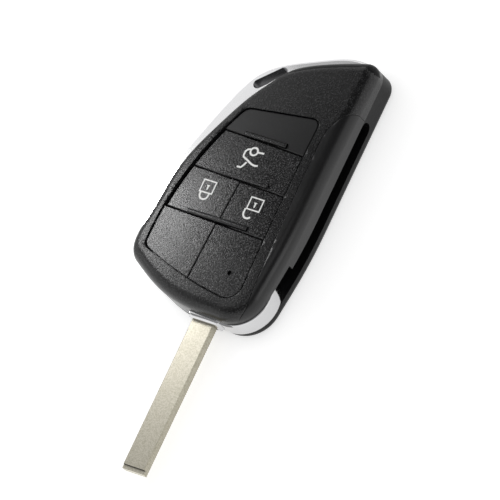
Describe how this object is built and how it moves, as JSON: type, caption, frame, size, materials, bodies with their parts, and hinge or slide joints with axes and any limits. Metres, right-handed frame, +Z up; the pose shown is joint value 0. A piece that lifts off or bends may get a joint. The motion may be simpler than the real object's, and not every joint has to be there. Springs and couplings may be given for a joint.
{
  "type": "flip key remote shell",
  "caption": "Folding car key remote shell with a swing-out uncut blade, sunk button panel, chrome edge frame and key ring loop.",
  "frame": {"origin": "centre of the footprint on the surface that the key lies on, blade swung out", "axes": "+Z up out of the button face, +Y along the shell towards the key ring loop, +X across the face towards the side that the blade folds into"},
  "size_m": [0.0508, 0.1306, 0.0165],
  "materials": {
    "shell_plastic": "fine moulded grain, black",
    "rail_plastic": "satin black",
    "badge_plastic": "smooth black",
    "key_plastic": "fine moulded grain, black",
    "chrome_plate": "bright plated",
    "blade_steel": "nickel silver blank",
    "spring_steel": "drawn wire",
    "screw_steel": "blackened",
    "silicone": "moulded",
    "tray_plastic": "moulded",
    "light_pipe": "clear red",
    "button_plastic": "satin black"
  },
  "bodies": {
    "shell": {"front_cover": "shell_plastic", "side_rail": "rail_plastic", "back_cover": "shell_plastic", "chrome_frame": "chrome_plate", "badge_panel": "badge_plastic", "blank_left": "key_plastic", "blank_right": "key_plastic", "led_window": "light_pipe", "key_frame": "key_plastic", "keypad_membrane": "silicone", "board_tray": "tray_plastic", "case_screw_1": "screw_steel", "case_screw_2": "screw_steel", "case_screw_3": "screw_steel"},
    "blade": {"blade_hub": "chrome_plate", "key_blade": "blade_steel", "roll_pin": "spring_steel", "torsion_spring": "spring_steel"},
    "release": {"release_button": "button_plastic"},
    "trunk": {"trunk_key": "key_plastic"},
    "lock": {"lock_key": "key_plastic"},
    "unlock": {"unlock_key": "key_plastic"}
  },
  "joints": [
    {"name": "blade_flip", "type": "hinge", "parent": "shell", "child": "blade", "pos_m": [0.01332, -0.00832, 0.00715], "axis": [0, 0, 1], "range_deg": [0, 180], "stiffness_Nm_per_rad": 0.004, "springref_deg": -20.05},
    {"name": "release_press", "type": "slide", "parent": "blade", "child": "release", "axis": [0, 0, 1], "range_m": [0, 0.0012], "stiffness_N_per_m": 400, "deforming": ["torsion_spring"]},
    {"name": "trunk_press", "type": "slide", "parent": "shell", "child": "trunk", "axis": [0, 0, -1], "range_m": [0, 0.0005], "stiffness_N_per_m": 1500, "deforming": ["keypad_membrane"]},
    {"name": "lock_press", "type": "slide", "parent": "shell", "child": "lock", "axis": [0, 0, -1], "range_m": [0, 0.0005], "stiffness_N_per_m": 1500, "deforming": ["keypad_membrane"]},
    {"name": "unlock_press", "type": "slide", "parent": "shell", "child": "unlock", "axis": [0, 0, -1], "range_m": [0, 0.0005], "stiffness_N_per_m": 1500, "deforming": ["keypad_membrane"]}
  ]
}
